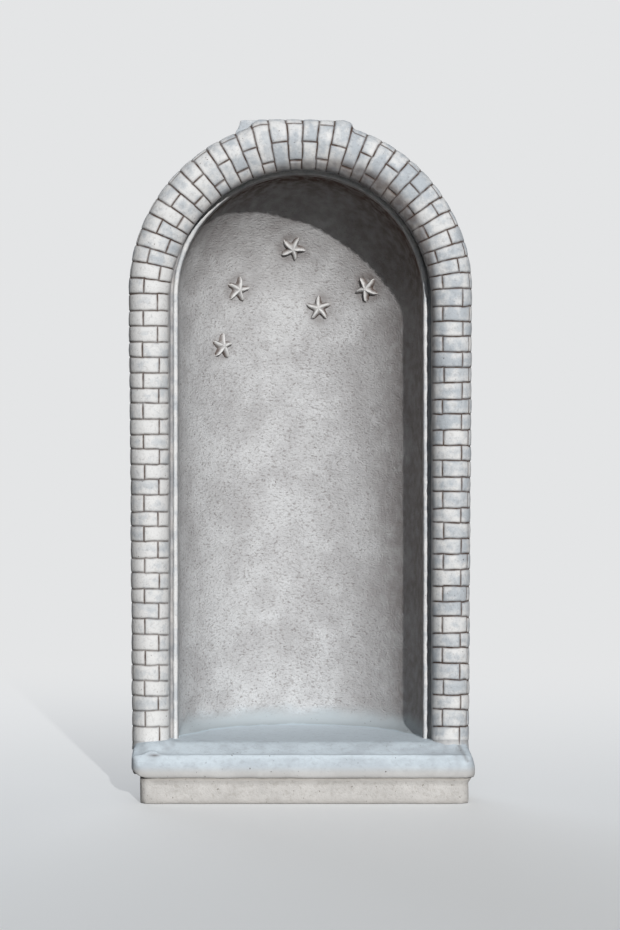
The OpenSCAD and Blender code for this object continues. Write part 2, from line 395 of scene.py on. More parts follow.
def mark_relief(bm, gain, passes=3):
    """Notes where the skin is hollow and holds the wash, and where it is proud and rubbed pale."""
    wash, rub_and_highlight, tone_and_light, skim = marks(bm)
    bm.normal_update()
    bend = {}
    for v in bm.verts:
        around = [e.other_vert(v).co for e in v.link_edges]
        middle = sum(around, Vector()) / len(around)
        apart = sum((p - v.co).length for p in around) / len(around)
        bend[v] = (middle - v.co).dot(v.normal) / max(1e-6, apart)
    for _ in range(passes):
        bend = {
            v: 0.5 * b + 0.5 * sum(bend[e.other_vert(v)] for e in v.link_edges) / len(v.link_edges)
            for v, b in bend.items()
        }
    for v, b in bend.items():
        v[wash] = clamp(gain * b)
        v[rub_and_highlight] = clamp(-gain * b)
    return wash, rub_and_highlight, tone_and_light, skim


def wave(point, size, seed):
    """Smooth unevenness between -1 and 1 at a given size in metres."""
    return noise.noise(Vector(point) / size + Vector((seed, 1.7 * seed, -seed)))


def mix(a, b, share):
    return a + (b - a) * share


def clamp(share):
    return min(1.0, max(0.0, share))


def ease(share):
    """A share held between 0 and 1 and eased at both ends."""
    share = clamp(share)
    return share * share * (3 - 2 * share)


def bell(off, width):
    """A smooth bump that is 1 in the middle and fades out about two widths away."""
    return math.exp(-((off / width) ** 2))


def pad_top(right, half):
    """Height of the crown pad's top, which sinks a little towards its rounded right end."""
    sink = 1.5 * MM * max(0.0, right / half)
    return PAD_HIGH.z - sink - 4 * MM * ease((right - half + 20 * MM) / (20 * MM)) ** 2


def star_spot(right, up, lean):
    """Where a star sits on the lining, facing out of it, from its row in the table."""
    lift = math.asin(max(up, 0.0))
    swing = math.asin(right / math.cos(lift))
    return (
        Matrix.Translation((0, JAMB_HIGH.y, JAMB_HIGH.z + min(up, 0.0) * JAMB_LOW.x))
        @ Matrix.Rotation(-swing, 4, "Z") @ Matrix.Rotation(lift, 4, "X")
        @ Matrix.Translation((0, JAMB_LOW.x, 0)) @ Matrix.Rotation(math.pi / 2, 4, "X")
        @ Matrix.Rotation(math.radians(-lean), 4, "Z")
    )


def bed_joints(sizes):
    """Places of the bed joints along the run: up the left jamb, over the arch, down the right jamb."""
    hand = random.Random(11)
    jamb = JAMB_HIGH.z - sizes.foot_h
    turn = math.pi * (JAMB_LOW.x + sizes.bead_w + sizes.quirk_w + sizes.spring_w / 2)
    first = sizes.low_joint - sizes.foot_h
    last = 2 * jamb + turn - first - 2 * MM
    stops = (first, jamb, jamb + turn * CROWN_SHARE, jamb + turn * SPRING_SHARE, last)
    counts = (sizes.jamb_courses, sizes.arch_courses, sizes.arch_courses, sizes.jamb_courses)
    beds = [mix(a, b, i / n) for a, b, n in zip(stops, stops[1:], counts) for i in range(n)] + [last]
    return [b + hand.uniform(-1, 1) * sizes.wander for b in beds]


class SHRINE_OT_surround(bpy.types.Operator):
    """Makes the brick-scored roll, the groove and the bead round the niche"""

    bl_idname = "shrine.surround"
    bl_label = "Brick-scored surround"

    def execute(self, context):
        sizes = context.scene.shrine.surround
        hand = random.Random(29)
        roll_in = JAMB_LOW.x + sizes.bead_w + sizes.quirk_w
        mid_r = roll_in + sizes.spring_w / 2
        springing, jamb = JAMB_HIGH.z, JAMB_HIGH.z - sizes.foot_h
        turn = math.pi * mid_r
        pad_mid, pad_half = (PAD_LOW.x + PAD_HIGH.x) / 2, sizes.pad_w / 2

        def width(run):
            if run < jamb:
                return mix(sizes.foot_w, sizes.spring_w, run / jamb)
            if run > jamb + turn:
                return mix(sizes.spring_w, sizes.foot_w, (run - jamb - turn) / jamb)
            return sizes.spring_w + (sizes.crown_w - sizes.spring_w) * math.sin((run - jamb) / mid_r)

        def place(run, r, d):
            a = math.pi - (run - jamb) / mid_r
            if run < jamb:
                return Vector((-r, JAMB_LOW.y + d, sizes.foot_h + run))
            if a < 0:
                return Vector((r, JAMB_LOW.y + d, springing + a * mid_r))
            return Vector((r * math.cos(a), JAMB_LOW.y + d, springing + r * math.sin(a)))

        beds = bed_joints(sizes)
        courses = len(beds) - 1

        # The scorer's line over the crest rides up at the foot of a jamb and down at its head
        level, span = 0.56, 0.47
        dips = []
        for b in beds:
            way = 1 if b < jamb else -1 if b > jamb + turn else 0
            dips.append(0.09 * sizes.round_d * (level - place(b, mid_r, 0).z) / span * way)

        half = math.degrees(sizes.joint_w / 2 / (sizes.spring_w / 2))
        bonds = []
        for k in range(courses):
            side = clamp((beds[k] - jamb) / turn)
            over = math.sin(math.pi * side) ** 1.5
            bonds.append([mix(a, b, side) + top * over + hand.uniform(-3, 3) for a, b, top in CROSS_JOINTS])
        tilts = [hand.uniform(-1, 1) * sizes.wander * 1.3 for _ in beds]
        tones = [[hand.uniform(-0.30, 0.30) for _ in range(3)] for _ in range(courses)]
        lifts = [[hand.uniform(-1, 1) * sizes.lift for _ in range(3)] for _ in range(courses)]

        # Lines round the girth: (zone, place, cross joint, share of the joint's half width)
        spread = (-1.0, -0.5, 0.0, 0.5, 1.0)
        back = JAMB_HIGH.y - JAMB_LOW.y
        side_joint = sizes.round_d + 13 * MM

        def plain(zone, *spots):
            return [(zone, spot, None, 0) for spot in spots]

        def girth(bond):
            lines = plain("side", back, back - 10 * MM)
            lines += [("side", side_joint - s * sizes.joint_w / 2, 3, s) for s in spread]
            lines += plain("side", mix(side_joint - sizes.joint_w / 2, sizes.round_d, 0.55))
            lines += plain("roll", *[mix(-90, bond[0] - half, s) for s in (0, 0.3, 0.6, 0.85)])
            for i in range(3):
                lines += [("roll", bond[i] + s * half, i, s) for s in spread]
                if i < 2:
                    lines += plain("roll", *[mix(bond[i] + half, bond[i + 1] - half, s) for s in GAP_SHARES])
            lines += plain("roll", *[mix(bond[2] + half, 90, s) for s in FLANK_SHARES])
            lines += plain("inner", 0.2, 0.45, 0.7, 0.9) + plain("quirk", 0.15, 0.5, 0.85)
            return lines + plain("bead", -40, 0, 30, 60, 90, 120, 150, 180) + plain("reveal", 0.25, 0.6, 1.0)

        # Lines along the run: (course, distance from the nearer bed joint, which end)
        rows = [(0, None, 0)]
        for k in range(courses):
            rows += [(k, i, 0) for i in range(4)] + [(k, None, 0.5)] + [(k, i, 1) for i in (3, 2, 1)]
        rows += [(courses - 1, 0, 1), (courses - 1, None, 1)]

        lines = [girth(bond) for bond in bonds]
        count = len(lines[0])
        ends = (0, len(rows) - 1)
        bm = bmesh.new()
        bmesh.ops.create_grid(bm, x_segments=ends[1], y_segments=count, size=1.0)
        wash, rub_and_highlight, tone_and_light, _ = marks(bm)
        for v in bm.verts:
            i = round((v.co.x + 1) / 2 * ends[1])
            j = round((v.co.y + 1) / 2 * count) % count
            k, step, end = rows[i]
            zone, spot, joint, across = lines[k][j]
            if step == 0 and k > 0 and end == 0:
                spot = (spot + lines[k - 1][j][1]) / 2
            front = math.cos(math.radians(spot)) if zone == "roll" else 0.0

            def bed(n, j=j, front=front):
                stray = sizes.wander * 0.9 * noise.noise(Vector((0.23 * j, 3.1 * n, 5.5)))
                return beds[n] + stray + tilts[n] * (j / 26 - 1) + front * dips[n]

            low, high = bed(k), bed(k + 1)
            cut = stain = worn = 0.0
            if i in ends:
                run = 0.0 if i == 0 else 2 * jamb + turn
            elif step is None:
                run = (low + high) / 2
            else:
                reach, cut, stain, worn = JOINT_LINES[step]
                run = mix(low, high, end) + (1 - 2 * end) * reach * sizes.joint_w / 2
            if (k, end) in ((0, 0), (courses - 1, 1)):
                cut, stain = 0.5 * cut, 0.35 * stain
            if run < jamb:
                # The left jamb's joints are lighter than the rest
                stain *= mix(0.68, 0.85, run / jamb)
            w = width(run)
            side = clamp((run - jamb) / turn)
            arch = math.sin(math.pi * side)
            lean = sizes.overhang * arch**0.6
            stand = min(1.0, (place(run, mid_r, 0).z - sizes.foot_h) / jamb)
            # The cross joints that this course has, and the brick of it that this line lies on
            live = (3, 1) if k % 2 else (0, 2)
            order = [n for n, line in enumerate(lines[k]) if line[2] in live and line[3] == 0]
            brick = sum(j > n for n in order)
            fade = 1.0
            if zone == "roll":
                fade = 1 - clamp((spot - 78) / 16)
            elif zone != "side":
                fade = 0.0
            cut, stain, worn = cut * fade, stain * fade, worn * fade
            if joint in live and i not in ends:
                _, deep, held, bare = next(x for x in JOINT_LINES if x[0] == abs(across))
                cut, stain, worn = max(cut, 0.9 * deep), max(stain, held), max(worn, bare * (1 - stain))
            if zone == "side":
                r, d, out = roll_in + w, spot, (1.0, 0.0)
            elif zone == "roll":
                a = math.radians(spot)
                r = roll_in + w / 2 - w / 2 * math.sin(a) - lean * ease((spot - 15) / 60)
                d = sizes.round_d - sizes.round_d * math.cos(a)
                n = Vector((-math.sin(a) / (w / 2), -math.cos(a) / sizes.round_d)).normalized()
                out = (n.x, n.y)
                # Brown wash holds on the inner flank, and round the right haunch it is deepened as painted
                # shade where the flank turns from the light
                haunch_shade = bell(side - 0.72, 0.27)
                hold = (mix(0.35, 0.5, side) + 0.3 * haunch_shade) * mix(0.4, 1.0, stand)
                stain = max(stain, min(0.95, hold) * ease((spot - 58 + 42 * haunch_shade * stand) / 22))
            elif zone == "inner":
                r, out = roll_in - lean * (1 - spot), (-1.0, 0.0)
                d = mix(sizes.round_d, sizes.bead_back + sizes.quirk_d, spot)
                stain = mix(0.25, 0.38, spot) + 0.15 * side
            elif zone == "quirk":
                deep = sizes.bead_back + sizes.quirk_d + 1.2 * MM * math.sin(math.pi * spot)
                r, d, out = roll_in - spot * sizes.quirk_w, deep, (0.0, -1.0)
                # Wash in the groove, with more round the arch as painted shade under the roll
                stain = mix(0.5, 0.15, side) + 0.3 * arch
            elif zone == "bead":
                a = math.radians(max(spot, 0))
                half_w = sizes.bead_w / 2
                # It is thinner at the crown
                slim = 1 - 0.25 * bell((run - jamb) / turn - 0.5, 0.16)
                r = JAMB_LOW.x + half_w + half_w * math.cos(a)
                d = sizes.bead_back + half_w - slim * half_w * math.sin(a) + (2.5 * MM if spot < 0 else 0)
                out = (math.cos(a), -math.sin(a))
                stain = BEAD_WASH.get(spot, 0.0)
                worn = 0.7 * math.sin(a) ** 2
            else:
                # Brown wash on the reveal, darkened round the arch and on the right as painted shade
                r, d, out = JAMB_LOW.x, mix(sizes.bead_back + sizes.bead_w / 2, back, spot), (-1.0, 0.0)
                stain = max(mix(0.5 + 0.35 * side, 0.16 + 0.3 * side, spot), 0.8 * arch**0.5)
            at = place(run, r, d)
            rise = 0.4 * MM * wave(at, 12 * MM, 3) + 0.5 * MM * wave(at, 38 * MM, 8)
            if zone in ("side", "roll"):
                swell = 0.4 * MM if step is None else 0.0
                rise += (1 - cut) * fade * (lifts[k][brick] + swell)
                rise -= cut * sizes.joint_d * mix(0.5, 1.0, front)
                # Painted light: paler on the left jamb, which is lit, and darker towards the right, which
                # lies in shade; darker over the arch too
                v[tone_and_light] = tones[k][brick] * fade + mix(0.35, -0.2, side) - 0.25 * arch
            if j in (0, count - 1):
                rise = 0.0
            v.co = place(run, r + rise * out[0], d + rise * out[1])
            right = v.co.x - pad_mid
            if zone in ("side", "roll") and v.co.z > springing and abs(right) < pad_half + 4 * MM:
                # At the crown the courses in front of the pad rise level with it
                natural = springing + math.sqrt((roll_in + w) ** 2 - v.co.x**2)
                climb = max(0.0, pad_top(right, pad_half) - 0.8 * MM - natural)
                climb *= ease((right + pad_half - 9 * MM) / (26 * MM))
                climb *= ease((pad_half + 4 * MM - right) / (9 * MM))
                v.co.z += climb * (1.0 if zone == "side" else ease((-spot - 12) / 62))
            v[wash], v[rub_and_highlight] = stain, 0.5 * worn
        seal(bm, 0.02 * MM)
        keep(
            bm, "brick_surround", brick_finish(context.scene.shrine.colours),
            ("left_jamb", "right_jamb", "arch_left", "arch_crown", "arch_right"), math.radians(60),
        )
        return {"FINISHED"}


class SHRINE_OT_lining(bpy.types.Operator):
    """Makes the round wall and the half dome of the niche with their dabbed lining"""

    bl_idname = "shrine.lining"
    bl_label = "Niche lining"

    def execute(self, context):
        sizes = context.scene.shrine.niche
        inner, springing, axis_y = JAMB_LOW.x, JAMB_HIGH.z, JAMB_HIGH.y
        toe = inner - sizes.cove_r
        top = springing - FLOOR_H - sizes.cove_r
        bm = bmesh.new()
        start = Vector((toe - 4 * MM, axis_y, FLOOR_H - 0.8 * MM))

        def reach(vert, place, cuts):
            """Draws the profile on in a straight line to a place."""
            far = bmesh.ops.extrude_vert_indiv(bm, verts=[vert])
            far["verts"][0].co = place
            if cuts:
                bmesh.ops.subdivide_edges(bm, edges=far["edges"], cuts=cuts)
            return min(bm.verts, key=lambda v: (v.co - Vector(place)).length)

        def swing(vert, centre, angle, steps):
            """Draws the profile on in an arc."""
            place = Vector(centre) + Matrix.Rotation(angle, 3, "Y") @ (vert.co - Vector(centre))
            bmesh.ops.spin(bm, geom=[vert], cent=centre, axis=(0, 1, 0), angle=angle, steps=steps)
            return min(bm.verts, key=lambda v: (v.co - place).length)

        quarter = math.pi / 2
        end = reach(bm.verts.new(start), (toe, axis_y, FLOOR_H), 0)
        end = swing(end, (toe, axis_y, FLOOR_H + sizes.cove_r), -quarter, 8)
        end = reach(end, (inner, axis_y, springing), round(top / sizes.mesh))
        end = swing(end, (0, axis_y, springing), -quarter, round(quarter * inner / sizes.mesh))
        end = reach(end, (0, axis_y, springing + SHELL_R), 0)
        end = swing(end, (0, axis_y, springing), quarter, 36)
        end = reach(end, (SHELL_R, axis_y, FLOOR_H), 24)
        bm.edges.new((end, min(bm.verts, key=lambda v: (v.co - start).length)))
        bmesh.ops.spin(
            bm, geom=bm.verts[:] + bm.edges[:], cent=(0, axis_y, 0), axis=(0, 0, 1), angle=math.pi,
            steps=round(math.pi * inner / sizes.mesh),
        )
        seal(bm, 0.05 * MM)
        bm.normal_update()
        wash, rub_and_highlight, tone_and_light, skim = marks(bm)
        stars = [star_spot(right, up, lean) @ Vector() for _, right, up, lean in STARS]
        for v in bm.verts:
            up = max(0.0, v.co.z - springing)
            out = Vector((v.co.x, v.co.y - axis_y, up))
            if out.length > inner + 2 * MM:
                continue
            if v.co.z < FLOOR_H + sizes.cove_r + 1e-5 and out.length > toe - 5 * MM:
                # The cove narrows to nothing where it meets the bead
                share = mix(0.1, 1.0, ease((v.co.y - axis_y) / (70 * MM)))
                out = out.normalized() * (inner - (inner - out.length) * share)
                v.co = Vector((out.x, axis_y + out.y, FLOOR_H + (v.co.z - FLOOR_H) * share))
            # The unevenness dies away at the bead and at the floor
            calm = min(1.0, (v.co.y - axis_y) / (16 * MM)) * clamp((v.co.z - FLOOR_H) / (20 * MM))
            lump = wave(v.co, 62 * MM, 2)
            dab = wave(v.co, 15 * MM, 9)
            away = -out.normalized() if out.length > 1e-6 else Vector((0, 0, -1))
            v.co += away * calm * (sizes.lump * lump + sizes.dab * dab)
            # Brown wash beside the bead, and painted shade under the crown, where the arch's shadow falls,
            # and down the right side, which turns from the light
            deep = v.co.y - axis_y
            edge = math.exp(-deep / (16 * MM))
            crown = min(1.0, up / inner)
            right_shade = max(0.0, v.co.x / inner)
            crown_shade = crown * math.exp(-deep / (110 * MM))
            held = (0.2 + 0.3 * crown) * edge + 0.36 * crown + 0.75 * crown_shade + 0.68 * right_shade**2
            # A ring of it was left round each star
            held += sum(0.3 * bell((v.co - star).length - 21 * MM, 8 * MM) for star in stars)
            v[wash] = clamp(held - 0.12 * lump - 0.10 * dab)
            v[rub_and_highlight] = max(0.0, 0.25 * lump + 0.25 * dab)
            above = v.co.z - FLOOR_H + 10 * MM * wave(v.co, 34 * MM, 7)
            v[skim] = ease(1.25 - above / (30 * MM))
            # Painted light: paler where it lies flat and faces the light from above, as the floor is, and
            # darker on the right as painted shade
            flat = max(0.0, 1 - (v.co.z - FLOOR_H) / sizes.cove_r)
            v[tone_and_light] = mix(-1.2, 1.0, flat**20) * v[skim] - 0.8 * right_shade * (1 - v[skim])
            v[wash] *= 1 - 0.8 * v[skim]
        c = context.scene.shrine.colours
        # Cast concrete dabbed with a coarse brush: fine close stipple with wash in its hollows
        finish = cast_stone(
            "cast stone, stippled and washed", c.niche_pale, c.niche_mid, c.wash,
            patch_mm=70, stipple_mm=5.0, stipple_d=2.6 * MM, pits=0.3, tint=0.5, rough=0.92,
            skim=(c.skim_pale, c.skim_mid),
        )
        keep(
            bm, "niche_lining", finish,
            ("left_wall", "back_wall", "right_wall", "dome_left", "dome_crown", "dome_right"),
            math.radians(50),
        )
        return {"FINISHED"}


class SHRINE_OT_base(bpy.types.Operator):
    """Makes the base with its rounded sill, the floor and the flared feet of the jambs"""

    bl_idname = "shrine.base"
    bl_label = "Base and floor"

    def execute(self, context):
        sizes = context.scene.shrine.niche
        surround = context.scene.shrine.surround
        bm = solids("base_slab", "niche_floor")
        roll_mid = JAMB_LOW.x + surround.bead_w + surround.quirk_w + surround.foot_w / 2
        nose_y, nose_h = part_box("base_slab")[0].y + 13.8 * MM, 78.4 * MM
        for side, reach, toe_h, top_h, swell in FEET:
            foot = bmesh.ops.create_cone(
                bm, cap_ends=True, segments=56, radius1=1.0, radius2=1.0, depth=1.0
            )["verts"]
            sides = {e for v in foot for e in v.link_edges if abs(e.verts[0].co.z - e.verts[1].co.z) > 0.5}
            bmesh.ops.subdivide_edges(bm, edges=list(sides), cuts=4)
            for v in [v for v in bm.verts if v.co.xy.length > 0.9]:
                # An apron that runs out further over the sill than to the sides
                spread = (0.5 - v.co.z) ** swell
                ahead = (reach if v.co.y < 0 else 4) * MM
                x = side * roll_mid + v.co.x * (surround.foot_w / 2 + 9 * MM * spread)
                y = JAMB_LOW.y + surround.round_d + v.co.y * (surround.round_d + ahead * spread)
                v.co = (x, min(y, JAMB_HIGH.y), mix(toe_h, top_h, v.co.z + 0.5) * MM)
        skin = fuse(bm, sizes.cast)
        low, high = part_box("base_slab")
        soften(skin, skin.verts[:], 4)
        feet = [v for v in skin.verts if v.co.z > 80 * MM and abs(v.co.x) > 190 * MM and v.co.y < JAMB_HIGH.y]
        soften(skin, feet, 6)
        # The sill runs into the floor with no edge
        sill = [v for v in skin.verts if v.co.z > FLOOR_H - 9 * MM and -150 * MM < v.co.y < -105 * MM]
        soften(skin, sill, 14)
        for v in skin.verts:
            # The left end was cast shorter
            v.co.x += 9.5 * MM * clamp((-200 * MM - v.co.x) / (90 * MM))
            # The right end flares from the jamb's foot to the slab's lower edge
            flare = max(0.0, (v.co.x - 250 * MM) / (41 * MM))
            v.co.x -= 10 * MM * ease((v.co.z - 58 * MM) / (40 * MM)) * flare
            # The lower corner at the left end is rounded off
            corner = clamp((-250 * MM - v.co.x) / (34 * MM)) * clamp((low.y + 60 * MM - v.co.y) / (30 * MM))
            v.co.z += corner**2 * 14 * MM * max(0.0, (68 * MM - v.co.z) / (24 * MM))
        wash, rub_and_highlight, tone_and_light, skim = mark_relief(skin, 5.0)
        for v in skin.verts:
            foot = max(0.0, 1 - Vector((abs(v.co.x) - roll_mid, v.co.y - JAMB_LOW.y)).length / (60 * MM))
            v.co += v.normal * (
                sizes.float_wave * wave(v.co, 52 * MM, 4) + 0.25 * MM * wave(v.co, 17 * MM, 6)
                + 1.2 * MM * foot * wave(v.co, 14 * MM, 12)
            )
            v.co = [min(max(p, a), b) for p, a, b in zip(v.co, low, high + Vector((0, 0, 4 * MM)))]
            # Painted light: the floor and the sill are paler where they face up, the floor palest, and a
            # painted highlight runs along the nose's edge
            inside = ease((v.co.y + 128 * MM) / (30 * MM))
            v[tone_and_light] = mix(-0.55, mix(0.2, 0.9, inside), ease((v.normal.z - 0.35) / 0.45)) - 0.4 * foot
            # The painted highlight along the nose's top edge, faded out at both ends
            if v.co.z > nose_h - 6 * MM:
                line = ease((v.co.x + 238 * MM) / (26 * MM)) * ease((262 * MM - v.co.x) / (12 * MM))
                v[rub_and_highlight] = max(v[rub_and_highlight] * line, line * bell(v.co.y - nose_y, 4 * MM))
            # Brown in the smudges round the feet, and soil along the lower edge of the nose that also paints
            # the shade in the crease over the plinth
            smudge = max(0.0, wave(v.co, 18 * MM, 15) - 0.1) * foot
            edge = max(0.0, 1 - (v.co.z - low.z) / (7 * MM)) * (0.4 + 0.6 * wave(v.co, 40 * MM, 3))
            v[skim] = 0.85 * ease((66 * MM - v.co.z) / (14 * MM))
            # A short crack in the left foot
            crack = 0.8 * bell(v.co.z - 81 * MM, 2.2 * MM) * bell(v.co.x + 243 * MM, 9 * MM)
            # A brown line down the right foot, where the jamb runs out over the slab
            down = (94 * MM - v.co.z) / (24 * MM)
            if 0 < down < 1 and v.co.y < JAMB_LOW.y + 20 * MM:
                crack = max(crack, 0.5 * bell(v.co.x - mix(265, 279, down) * MM, 3 * MM))
            v[wash] = min(1.0, max(v[wash], 0.9 * smudge, 0.45 * edge, crack))
        c = context.scene.shrine.colours
        # Cast concrete struck off with a float: smooth and pale, waved, with a few air holes
        finish = cast_stone(
            "cast stone, floated", c.base_pale, c.base_mid, c.wash,
            patch_mm=60, stipple_mm=9, stipple_d=0.35 * MM, pits=0.1, tint=0.12, rough=0.85,
            skim=(c.nose_pale, c.nose_mid),
        )
        keep(skin, "base_casting", finish, ("base_slab", "niche_floor"))
        return {"FINISHED"}


class SHRINE_OT_plinth(bpy.types.Operator):
    """Makes the set-back plinth under the base"""

    bl_idname = "shrine.plinth"
    bl_label = "Plinth"

    def execute(self, context):
        skin = fuse(solids("plinth"), 4.0 * MM)
        soften(skin, skin.verts[:], 1)
        low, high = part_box("plinth")
        wash, *_ = mark_relief(skin, 4.0)
        for v in skin.verts:
            # Its top spreads out to a thin shadow line under the slab
            rim = ease(1 - (high.z - v.co.z) / (10 * MM))
            spread = 8 * MM * rim * ease((v.co.x + 275 * MM) / (30 * MM))
            v.co += v.normal * (0.5 * MM * wave(v.co, 30 * MM, 5) - 0.5 * MM)
            v.co += Vector((v.normal.x, v.normal.y, 0)) * spread
            # Its left end was cast shorter too
            v.co.x += 13 * MM * clamp((-200 * MM - v.co.x) / (80 * MM))
            v.co.z = min(high.z, max(low.z, v.co.z)) + 3.5 * MM * rim * rim
            # Soil splashed at its foot, and soil along its top that also paints the shade under the slab's
            # nose
            splash = 0.25 * max(0.0, 1 - v.co.z / (14 * MM))
            v[wash] = max(v[wash], splash, 0.6 * (1 - (high.z - v.co.z) / (6 * MM)))
        c = context.scene.shrine.colours
        # Cast concrete left from the mould: grainy, pitted, splashed with soil at its foot
        finish = cast_stone(
            "cast stone, from the mould", c.nose_pale, c.nose_mid, c.soil,
            patch_mm=40, stipple_mm=6, stipple_d=0.8 * MM, pits=0.35, tint=0.25, rough=0.92,
        )
        keep(skin, "plinth_casting", finish, ("plinth",))
        return {"FINISHED"}


class SHRINE_OT_pad(bpy.types.Operator):
    """Makes the flat pad on the crown"""

    bl_idname = "shrine.pad"
    bl_label = "Crown pad"

    def execute(self, context):
        surround = context.scene.shrine.surround
        skin = fuse(solids("crown_pad"), 1.8 * MM)
        soften(skin, skin.verts[:], 4)
        low, high = PAD_LOW, PAD_HIGH
        front = JAMB_LOW.y + surround.round_d + 3 * MM
        _, _, tone_and_light, _ = mark_relief(skin, 4.0)
        for v in skin.verts:
            # Its ends run out in a hollow curve on to the roll, and its right end is rounded over
            down = max(0.0, (high.z - 3 * MM - v.co.z) / (18 * MM))
            out = v.co.x - (low.x + high.x) / 2
            v.co.z -= (high.z - pad_top(out, surround.pad_w / 2)) * ease(1 - down)
            sweep = 6 * MM * min(1.0, down**2)
            v.co.x += math.copysign(sweep, out) * min(1.0, abs(out) / (80 * MM)) ** 4
            v.co += v.normal * (0.35 * MM * wave(v.co, 24 * MM, 5) - 0.35 * MM)
            v.co.z = min(v.co.z, high.z)
            v[tone_and_light] = -0.5
            # Its front stands behind the roll, which rises level with it
            v.co.y = mix(front, high.y, (v.co.y - low.y) / (high.y - low.y))
        finish = brick_finish(context.scene.shrine.colours)
        keep(skin, "crown_pad_casting", finish, ("crown_pad",))
        return {"FINISHED"}


class SHRINE_OT_stars(bpy.types.Operator):
    """Makes the five raised stars on the niche's lining"""

    bl_idname = "shrine.stars"
    bl_label = "Stars"

    def execute(self, context):
        sizes = context.scene.shrine.niche
        c = context.scene.shrine.colours
        # Pressed concrete, dry-brushed: pale along the ridges, with brown wash down the flanks that also
        # paints their shade
        finish = cast_stone(
            "cast stone, pressed and brushed", c.brick_pale, c.niche_mid, c.wash,
            patch_mm=12, stipple_mm=4, stipple_d=0.3 * MM, pits=0.0, tint=0.25, rough=0.9,
        )
        inner, fifth = JAMB_LOW.x, math.pi / 5
        waist, root = STAR_WAIST * math.sin(fifth), STAR_WAIST * math.cos(fifth)
        for index, (name, right, up, lean) in enumerate(STARS):
            bm = bmesh.new()
            bmesh.ops.create_cone(bm, cap_ends=False, segments=10, radius1=1.0, radius2=0.0, depth=1.0)
            bmesh.ops.remove_doubles(bm, verts=bm.verts[:], dist=1e-4)
            rim = sorted((v for v in bm.verts if v.co.z < 0), key=lambda v: math.atan2(v.co.y, v.co.x))
            for n, v in enumerate(rim):
                a = math.pi / 2 + n * fifth
                r = STAR_WAIST if n % 2 else 1.0
                v.co = Vector((r * math.cos(a), r * math.sin(a), -0.5))
            bmesh.ops.subdivide_edges(bm, edges=bm.edges[:], cuts=7, use_grid_fill=True)
            wash, rub_and_highlight, *_ = marks(bm)
            for v in bm.verts:
                flat = Vector((v.co.x, v.co.y))
                a = (math.atan2(v.co.y, v.co.x) - math.pi / 2 + fifth) % (2 * fifth) - fifth
                along, aside = flat.length * math.cos(a), flat.length * math.sin(a)
                # Half the arm's width here on the pointed outline, and on the blunt one
                run = max(0.0, along - root) / (1 - root)
                thin = max(1e-4, waist * (1 - run))
                blunt = mix(waist, 0.15, min(1.0, run * 1.05))
                off = min(1.0, abs(aside) / thin) if along > root else abs(math.tan(a)) / math.tan(fifth)
                wide = min(2.9, blunt / thin) if along > root else 1.0
                crest = 1 - 0.5 * along**2 if along < 0.97 else 0.15
                body = max(0.0, 1 - (along / root) ** 2)
                h = crest * (1 - off**1.3) + 0.85 * body * off**1.3
                # Arms curl a little, like a starfish
                turn = 0.14 * along**2 * (1 if index % 2 else -1)
                axis = math.atan2(v.co.y, v.co.x) - a + turn
                x, y = along * sizes.star_r, aside * wide * sizes.star_r
                v.co = Vector((
                    x * math.cos(axis) - y * math.sin(axis), x * math.sin(axis) + y * math.cos(axis),
                    sizes.star_edge + (sizes.star_h - sizes.star_edge) * h,
                ))
                # Pale ridges from the dry brush, and brown flanks that are partly painted shade
                v[rub_and_highlight] = max(0.0, 1 - 2.2 * off)
                v[wash] = 0.92 * clamp(2.2 * off - 0.65) * (1 - 0.7 * body)
            brim = [e for e in bm.edges if e.is_boundary]
            wall = bmesh.ops.extrude_edge_only(bm, edges=brim)["geom"]
            for v in (x for x in wall if isinstance(x, bmesh.types.BMVert)):
                v.co.z = -3 * MM
                v[wash] = 1.0
            bmesh.ops.holes_fill(bm, edges=[e for e in bm.edges if e.is_boundary], sides=0)
            soften(bm, [v for v in bm.verts if v.co.z > 0], 1, 0.3)
            bmesh.ops.recalc_face_normals(bm, faces=bm.faces[:])
            for v in bm.verts:
                v.co.z += (v.co.x**2 + v.co.y**2) / (2 * inner)
                v.co.z += 0.35 * MM * wave(v.co, 7 * MM, 20 + index)
            bmesh.ops.transform(bm, matrix=star_spot(right, up, lean), verts=bm.verts[:])
            keep(bm, name + "_cast", finish, (name,), math.radians(75))
        return {"FINISHED"}


def shown_ray(tree, *kinds):
    """1 for rays of these kinds, which show a surface in the picture, and 0 for other light."""
    path = add(tree, "ShaderNodeLightPath")
    shown, *others = [path.outputs[f"Is {kind} Ray"] for kind in kinds]
    for other in others:
        shown = add(tree, "ShaderNodeMath", {0: shown, 1: other}, operation="MAXIMUM").outputs[0]
    return shown


